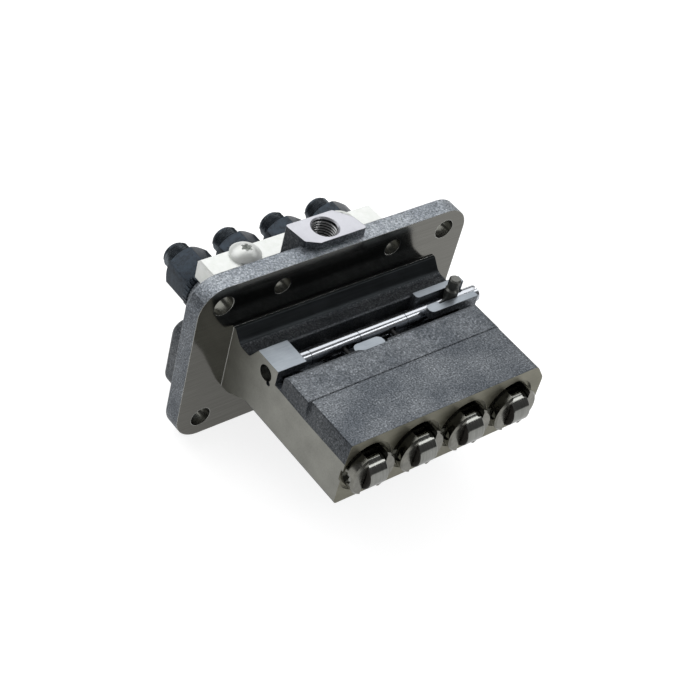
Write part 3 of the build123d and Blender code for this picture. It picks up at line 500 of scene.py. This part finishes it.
def delivery_valve_holder():
    """Outlet thread, hexagon, serrated collar and plain shank, drilled through for the fuel."""
    x = element_x[0]
    ring_front_y, ring_rear_y = ring_y - ring_groove_half, ring_y + ring_groove_half
    shank_rear_y = collar_front_y + sunk / 2
    shank = turn("holder_shank", [
        (shank_front_y, chamber_radius), (shank_front_y, shank_radius - shank_edge),
        (shank_front_y + shank_edge, shank_radius), (ring_front_y, shank_radius),
        (ring_front_y, ring_groove_radius), (ring_rear_y, ring_groove_radius), (ring_rear_y, shank_radius),
        (shank_rear_y, shank_radius), (shank_rear_y, chamber_radius), (shank_front_y, chamber_radius)],
        x, sides=64)
    collar = serrated_collar(x)
    hexagon = crowned_hexagon(x)

    core, outlet_front_y = outlet_radius - thread_depth, hexagon_rear_y - sunk
    outlet = turn("holder_outlet", [
        (outlet_front_y, passage_radius), (outlet_front_y, core), (outlet_y - outlet_edge, core),
        (outlet_y, core - outlet_edge_depth), (outlet_y, cone_radius),
        (outlet_y - cone_radius, passage_radius), (outlet_front_y, passage_radius)], x, sides=48)
    crest = screw_thread("holder_thread", core, outlet_radius, outlet_y - hexagon_rear_y - thread_loss)
    crest.data.transform(Matrix.Translation((x * mm, (hexagon_rear_y + thread_start) * mm, element_z * mm)))
    for part in (shank, collar, hexagon, outlet):
        dress(part, oxide)
    dress(crest, rubbed_oxide)
    return join(
        tidy_mesh(shank), tidy_mesh(collar, 25), tidy_mesh(hexagon, 25), tidy_mesh(outlet), tidy_mesh(crest, 20))


for number, holder in enumerate(copies(delivery_valve_holder(), "valve_holder"), 1):
    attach(holder, "pump_body")
    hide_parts(f"delivery_valve_holder_{number}")


# ------------------------------------------------------------------ cam rollers
def cam_roller():
    """A hardened ring, its tread and rounded edges polished, its end faces relieved round the pin and painted near
    black as painted shade.
    """
    half, rim = roller_width / 2, roller_radius - roller_rim
    side = [
        (half - edge_belly, roller_radius - edge_belly), (half, roller_radius - roller_edge), (half, rim),
        (half - roller_relief, rim - relief_slope), (half - roller_relief, roller_bore)]
    other_side = [(-y, radius) for y, radius in reversed(side)]
    tread = [(-half + roller_edge, roller_radius), (half - roller_edge, roller_radius)]
    ring = turn("roller_ring", other_side + tread + side + other_side[:1], 0.0, sides=96, z=0.0)
    tidy_mesh(ring, 15)
    dress(ring, bearing_steel, roller_end_painted_shade)
    # Painted shade: the end faces take the near black steel
    for face in ring.data.polygons:
        looks_out = abs(face.normal.y) > 0.5 and abs(face.center.y) > (half - roller_relief - reach) * mm
        face.material_index = 1 if looks_out else 0
    across = Matrix.Rotation(math.radians(-90), 4, "Z")
    ring.data.transform(Matrix.Translation((element_x[0] * mm, roller_y * mm, element_z * mm)) @ across)
    return ring


for number, roller in enumerate(copies(cam_roller(), "cam_roller"), 1):
    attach(roller, f"roller_group_{number}")
    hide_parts(f"tappet_roller_{number}")


# ------------------------------------------------------------------ springs
def coil_spring(name, wire, mean_radius, turns, front_y, rear_y):
    """A wound spring with a closed coil at each end."""
    sides = 12
    deselect()
    bpy.ops.mesh.primitive_circle_add(vertices=sides, radius=wire / 2 * mm, location=(mean_radius * mm, 0, 0))
    piece = wind(settle(name), turns, 0.0)
    rings = len(piece.data.vertices) // sides - 1
    climb = rear_y - front_y - wire
    for vertex in piece.data.vertices:
        turned = (vertex.index // sides) / rings * turns
        ends = wire * min(turned, 1.0) + wire * max(0.0, turned - (turns - 1.0))
        middle = (climb - 2 * wire) * min(max((turned - 1.0) / (turns - 2.0), 0.0), 1.0)
        vertex.co.y += (front_y + wire / 2 + ends + middle) * mm
    piece.data.transform(Matrix.Translation((element_x[0] * mm, 0, element_z * mm)))
    modify(piece, "SUBSURF", levels=1, render_levels=1)
    dress(tidy_mesh(piece, 60), spring_steel)
    return piece


def fit_springs(name, sizes):
    """Fits one spring to each element."""
    wire, radius, turns, front_y, rear_y = sizes
    for number, spring in enumerate(copies(coil_spring(name, *sizes), name + "_wire"), 1):
        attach(spring, "pump_body")
        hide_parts(f"{name}_{number}")
        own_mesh(spring)


fit_springs("plunger_spring", plunger_spring)
fit_springs("delivery_valve_spring", valve_spring)


# ------------------------------------------------------------------ housing
housing_finishes = [
    rough_cast, ground_face, milled_end, milled_pad, tappet_face, bored_iron_painted_shade, painted_shade_wall, spot_face,
    painted_light_cast, painted_shade_cast]


def within(value, limits):
    return limits[0] < value < limits[1]


def housing_finish(px, py, pz, nx, ny, nz):
    """The finish of a face of the casting, by where its middle lies and which way it looks."""
    element = min(element_x, key=lambda x: abs(px - x))
    from_axis = math.hypot(px - element, pz - element_z)
    faces_axis = (px - element) * nx + (pz - element_z) * nz < -0.6 * from_axis
    in_bore = from_axis < element_bore_radius and (
        faces_axis and abs(ny) < 0.9 or abs(ny) > 0.5 and (py < tappet_bore_rear_y or py > barrel_seat_y))
    in_bolt_hole = within(py, bolt_hole_y) and abs(ny) < 0.9 and any(
        math.hypot(px - x, pz - z) < radius + bolt_hole_rim for x, z, radius in corner_bolt_holes + upper_bolt_holes)
    on_left_end = nx < -0.98 and abs(px - left_end_x) < reach
    on_right_end = nx > 0.98 and abs(px - right_end_x) < reach
    on_pad = nz > 0.98 and any(abs(pz - height) < reach for height in pad_heights)
    if ny < -0.99 and abs(py) < reach:
        return ground_face
    if ny < -0.9 and py < tappet_end_y:
        return tappet_face
    if on_left_end or on_right_end:
        return milled_end
    if nz > 0.9 and pz > boss_top_z - 1.0 and py > boss_front_y:
        return spot_face
    if on_pad or ny > 0.98 and abs(py - rear_face_y) < reach:
        return milled_pad
    if in_bolt_hole:
        return bored_iron_painted_shade
    # Painted shade: the inlet hole's sides take the near black wall iron; its chamfer is spot faced
    if math.hypot(px - inlet_x, py - inlet_y) < inlet_radius + inlet_rim and pz > inlet_floor_z:
        return spot_face if nz > 0.3 else painted_shade_wall
    if in_bore or math.hypot(py - rack_bore_y, pz - rack_bore_z) < rack_bore_radius and abs(nx) < 0.7:
        return bored_iron_painted_shade
    # Painted shade: the wall under the flange's front takes the near black iron
    if within(py, root_wall_y) and within(pz, root_wall_z) and abs(nx) < 0.3:
        return painted_shade_wall
    # Painted light: the flange's top edge takes the lighter copy of the skin
    if nz > 0.3 and pz > flange_edge_z and within(py, flange_edge_y):
        return painted_light_cast
    # Painted shade: a darker copy of the skin on faces that the light leaves in shade: the block's sloping left
    # side, the gully before the root, the boss's left flank and the left ends of what stands behind the flange
    block_side = nx < -0.5 and px < -50.0 and py < -37.0
    boss_flank = nx < -0.6 and pz > 25.0 and py > boss_front_y and abs(px) < 25.0
    lump_side = nx < -0.3 and px < -70.0 and py > 10.0
    if block_side or pz < gully_top_z and within(py, gully_y) or boss_flank or lump_side:
        return painted_shade_cast
    return rough_cast


def dress_housing():
    """The casting, each of its faces with its own finish."""
    casting = nodes["pump_housing"].copy()
    casting.data = casting.data.copy()
    casting.name = "housing_casting"
    bpy.context.scene.collection.objects.link(casting)
    pick(casting)
    bpy.ops.mesh.customdata_custom_splitnormals_clear()
    bpy.ops.object.mode_set(mode="EDIT")
    bpy.ops.mesh.select_all(action="SELECT")
    bpy.ops.mesh.remove_doubles(threshold=0.000001)
    bpy.ops.object.mode_set(mode="OBJECT")
    bpy.ops.object.shade_smooth_by_angle(angle=math.radians(28))
    dress(casting, *housing_finishes)
    for face in casting.data.polygons:
        face.material_index = housing_finishes.index(housing_finish(*face.center / mm, *face.normal))
    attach(casting, "pump_body")
    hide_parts("pump_housing")


dress_housing()


def inlet_thread():
    """The thread down the fuel inlet, its crests towards the middle of the hole."""
    thread = screw_thread(
        "inlet_thread", inlet_radius, inlet_radius - inlet_thread_depth, inlet_thread_length,
        half=inlet_thread_half)
    thread.data.transform(Matrix.Rotation(math.radians(-90), 4, "X"))
    top_z = boss_top_z - inlet_thread_start
    thread.data.transform(Matrix.Translation((inlet_x * mm, inlet_y * mm, top_z * mm)))
    dress(tidy_mesh(thread, 20), threaded_iron)
    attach(thread, "pump_body")


inlet_thread()


# ------------------------------------------------------------------ floor, light and camera
def seen_directly(tree, path):
    """1 for rays from the camera, from a mirroring surface or through glass, and 0 for scattered ones."""
    straight = {0: path.outputs["Is Camera Ray"], 1: path.outputs["Is Glossy Ray"]}
    direct = add_node(tree, "Math", straight, operation="MAXIMUM")
    return add_node(tree, "Math", {0: direct, 1: path.outputs["Is Transmission Ray"]}, operation="MAXIMUM")


def studio_floor():
    """A plain pale floor that keeps a soft shadow of the pump. It glows less in a mirroring surface."""
    seen_glow, mirrored_glow = 0.8, 0.46
    deselect()
    low = cad_box[0][2]
    bpy.ops.mesh.primitive_plane_add(size=6.0, location=(0, 0, low))
    floor = settle("studio_floor")
    made, tree, place = new_material("studio_floor_white")
    bounce = add_node(tree, "BsdfDiffuse", {"Color": colour("#d8d8d8")})
    seen = add_node(tree, "BsdfDiffuse", {"Color": colour("#b4b4b4")})
    path = add_node(tree, "LightPath")
    level = add_node(tree, "Mix", {0: path.outputs["Is Camera Ray"], 2: mirrored_glow, 3: seen_glow})
    glow = add_node(tree, "Emission", {"Color": grey(1.0), "Strength": level})
    bright = add_node(tree, "AddShader", {0: seen, 1: glow})
    shown = add_node(tree, "MixShader", {0: seen_directly(tree, path), 1: bounce, 2: bright})
    add_node(tree, "OutputMaterial", {"Surface": shown})
    dress(floor, made)


def soft_lamp(name, place, aim, size, watts):
    """A rectangular lamp that looks at its aim."""
    lamp = bpy.data.lights.new(name, "AREA")
    lamp.shape, lamp.size, lamp.size_y, lamp.energy = "RECTANGLE", size[0], size[1], watts
    made = bpy.data.objects.new(name, lamp)
    made.location = place
    made.rotation_euler = (Vector(aim) - Vector(place)).to_track_quat("-Z", "Y").to_euler()
    bpy.context.scene.collection.objects.link(made)


def studio_world():
    """White round the horizon, darker overhead, and an even fill on the object."""
    fill = grey(0.5)
    room = [(0.03, grey(0.9)), (0.16, grey(0.1)), (1.0, grey(0.14))]
    world = bpy.data.worlds.new("studio_world")
    bpy.context.scene.world = world
    world.use_nodes = True
    tree = world.node_tree
    tree.nodes.clear()
    way = add_node(tree, "TexCoord").outputs["Generated"]
    height = add_node(tree, "SeparateXYZ", {0: way}).outputs["Z"]
    mirrored = add_node(tree, "ValToRGB", {"Fac": height}, room)
    path = add_node(tree, "LightPath")
    shown = add_node(
        tree, "Mix", {0: path.outputs["Is Camera Ray"], 6: mirrored, 7: grey(1.0)}, data_type="RGBA")
    light = add_node(
        tree, "Mix", {0: seen_directly(tree, path), 6: fill, 7: shown.outputs[2]}, data_type="RGBA")
    glow = add_node(tree, "Background", {"Color": light.outputs[2]})
    add_node(tree, "OutputWorld", {"Surface": glow})


def studio_camera():
    """Looks down on the tappet end from the front left, with the row of holders running away to the rear."""
    lens = bpy.data.cameras.new("studio_camera")
    lens.lens, lens.sensor_width, lens.clip_start, lens.clip_end = 87.11, 36.0, 0.05, 20.0
    camera = bpy.data.objects.new("studio_camera", lens)
    place = (-0.43468, -0.40474, 0.52662)
    right = Vector((0.775880, -0.596604, 0.205119))
    up = Vector((0.300647, 0.635497, 0.711165))
    ahead = Vector((0.554636, 0.490111, -0.672436))
    turned = Matrix((right, up, -ahead)).transposed().to_4x4()
    camera.matrix_world = Matrix.Translation(place) @ turned
    bpy.context.scene.collection.objects.link(camera)
    bpy.context.scene.camera = camera


pump_middle = (0, -0.03, 0.01)
studio_floor()
soft_lamp("rear_softbox", (0.09, 0.54, 0.735), pump_middle, (1.8, 0.88), 7.3)
soft_lamp("overhead_strip", (0.52, -0.34, 0.70), pump_middle, (0.9, 0.12), 0.85)
studio_world()
studio_camera()
bpy.context.scene.view_settings.view_transform = "Standard"
